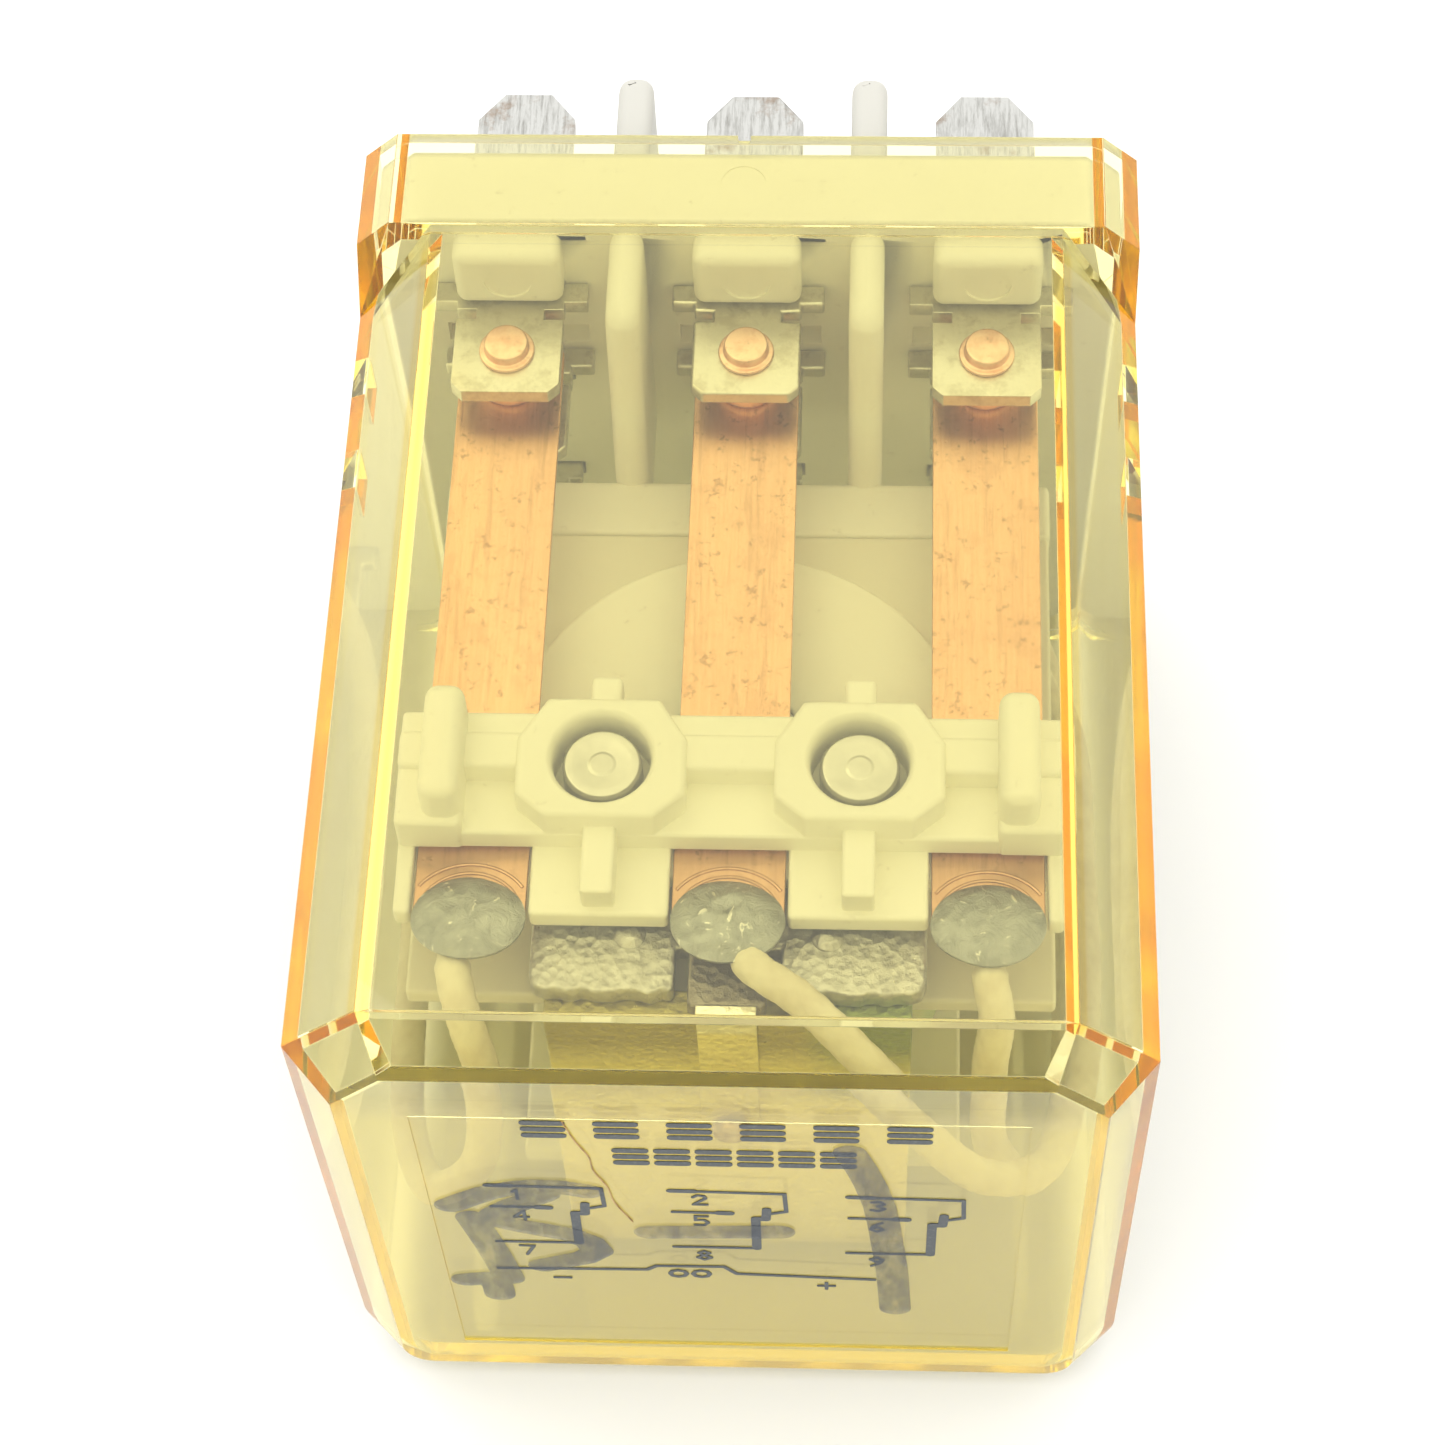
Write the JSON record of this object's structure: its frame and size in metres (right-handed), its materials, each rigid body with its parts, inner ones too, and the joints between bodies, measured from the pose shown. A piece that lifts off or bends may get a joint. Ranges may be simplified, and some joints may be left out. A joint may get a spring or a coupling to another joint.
{
  "type": "plug-in power relay",
  "caption": "Plug-in change-over power relay: clear bevelled cover over a hinged armature with contact springs, coil and blade terminals.",
  "frame": {"origin": "centre of the overall bounding box in X and Y, on the surface the relay's back lies on", "axes": "+Z towards the contact side, +Y along the blade terminals, -Y towards the printed end of the cover"},
  "size_m": [0.0362, 0.055, 0.0361],
  "materials": {
    "clear_cover": "clear, aged yellow, glossy",
    "ivory_plastic": "moulded, satin",
    "bobbin_plastic": "moulded, satin",
    "tinned_blade": "nickel plated, bright",
    "contact_alloy": "burnished",
    "spring_copper": "rolled strip, satin",
    "solder": "reflowed, satin",
    "lead_sleeve": "woven sleeve, matte",
    "yellow_zinc_steel": "yellow zinc plated",
    "zinc_steel": "zinc plated, mottled",
    "plated_rivet": "nickel plated",
    "enamelled_copper": "enamelled wire, glossy",
    "coil_tape": "adhesive tape, satin"
  },
  "bodies": {
    "housing": {"cover": "clear_cover", "base": "ivory_plastic", "nc_terminal_1": "tinned_blade", "nc_contact_1": "contact_alloy", "no_terminal_1": "tinned_blade", "no_contact_1": "contact_alloy", "common_terminal_1": "tinned_blade", "pole_lead_1": "lead_sleeve", "nc_terminal_2": "tinned_blade", "nc_contact_2": "contact_alloy", "no_terminal_2": "tinned_blade", "no_contact_2": "contact_alloy", "common_terminal_2": "tinned_blade", "pole_lead_2": "lead_sleeve", "nc_terminal_3": "tinned_blade", "nc_contact_3": "contact_alloy", "no_terminal_3": "tinned_blade", "no_contact_3": "contact_alloy", "common_terminal_3": "tinned_blade", "pole_lead_3": "lead_sleeve", "coil_terminal_a": "tinned_blade", "coil_terminal_b": "tinned_blade", "yoke": "yellow_zinc_steel", "core": "zinc_steel", "frame_rivet_left": "plated_rivet", "frame_rivet_right": "plated_rivet", "bobbin": "bobbin_plastic", "coil_winding": "enamelled_copper", "coil_tape": "coil_tape", "coil_lead_a": "enamelled_copper", "coil_lead_b": "enamelled_copper", "return_spring": "plated_rivet", "return_spring_rivet": "plated_rivet"},
    "armature_assembly": {"armature": "zinc_steel", "contact_carrier": "ivory_plastic", "carrier_rivet_left": "plated_rivet", "carrier_rivet_right": "plated_rivet", "contact_spring_1": "spring_copper", "contact_spring_2": "spring_copper", "contact_spring_3": "spring_copper", "moving_contact_1": "contact_alloy", "moving_contact_2": "contact_alloy", "moving_contact_3": "contact_alloy", "solder_joint_1": "solder", "solder_joint_2": "solder", "solder_joint_3": "solder"}
  },
  "joints": [
    {"name": "armature_hinge", "type": "hinge", "parent": "housing", "child": "armature_assembly", "pos_m": [0, -0.01995, 0.0253], "axis": [-1, 0, 0], "range_deg": [0, 1.65], "stiffness_Nm_per_rad": 0.05, "springref_deg": -5.73}
  ]
}
